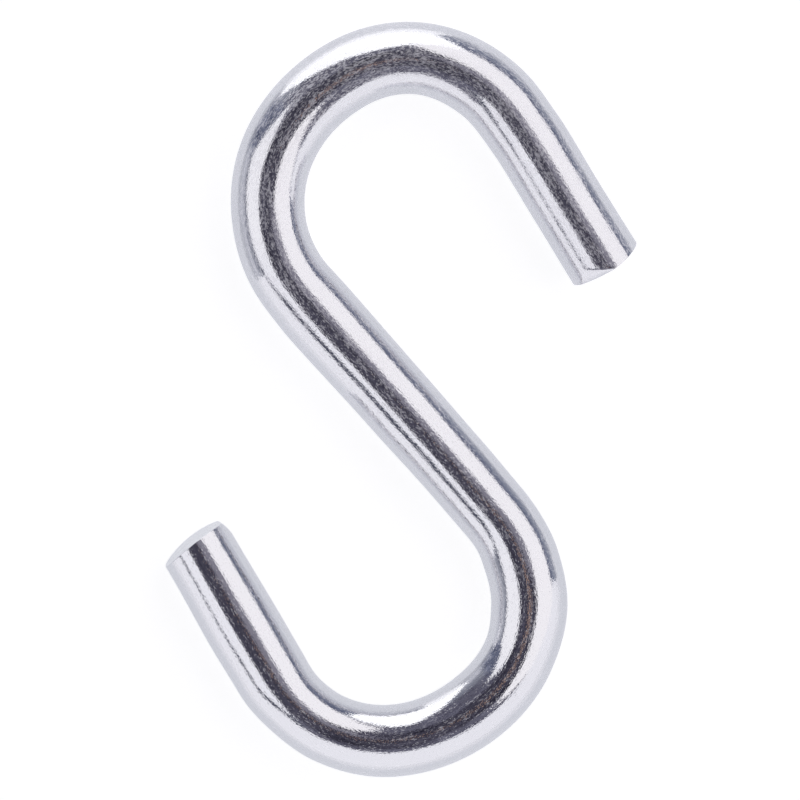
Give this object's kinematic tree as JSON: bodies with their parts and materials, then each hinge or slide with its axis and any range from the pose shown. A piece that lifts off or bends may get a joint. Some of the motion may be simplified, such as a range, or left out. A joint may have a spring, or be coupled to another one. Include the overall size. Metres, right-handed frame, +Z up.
{
  "type": "s hook",
  "caption": "Bright zinc-plated steel S hook bent from one length of round wire, with two open bends and sheared ends.",
  "frame": {"origin": "middle of the outline's bounding box, on the plane that the hook lies on", "axes": "+Z up out of the plane of the S, from the surface it lies on; +Y along the long side of the S, towards the bend whose leg points down and to the right; +X to the right, so that the S reads as the letter from above"},
  "size_m": [0.0398, 0.0638, 0.0063],
  "materials": {
    "zinc_steel": "bright zinc plate over drawn steel wire, mirror-like with a fine grain"
  },
  "bodies": {
    "root": {"hook": "zinc_steel"}
  },
  "joints": []
}
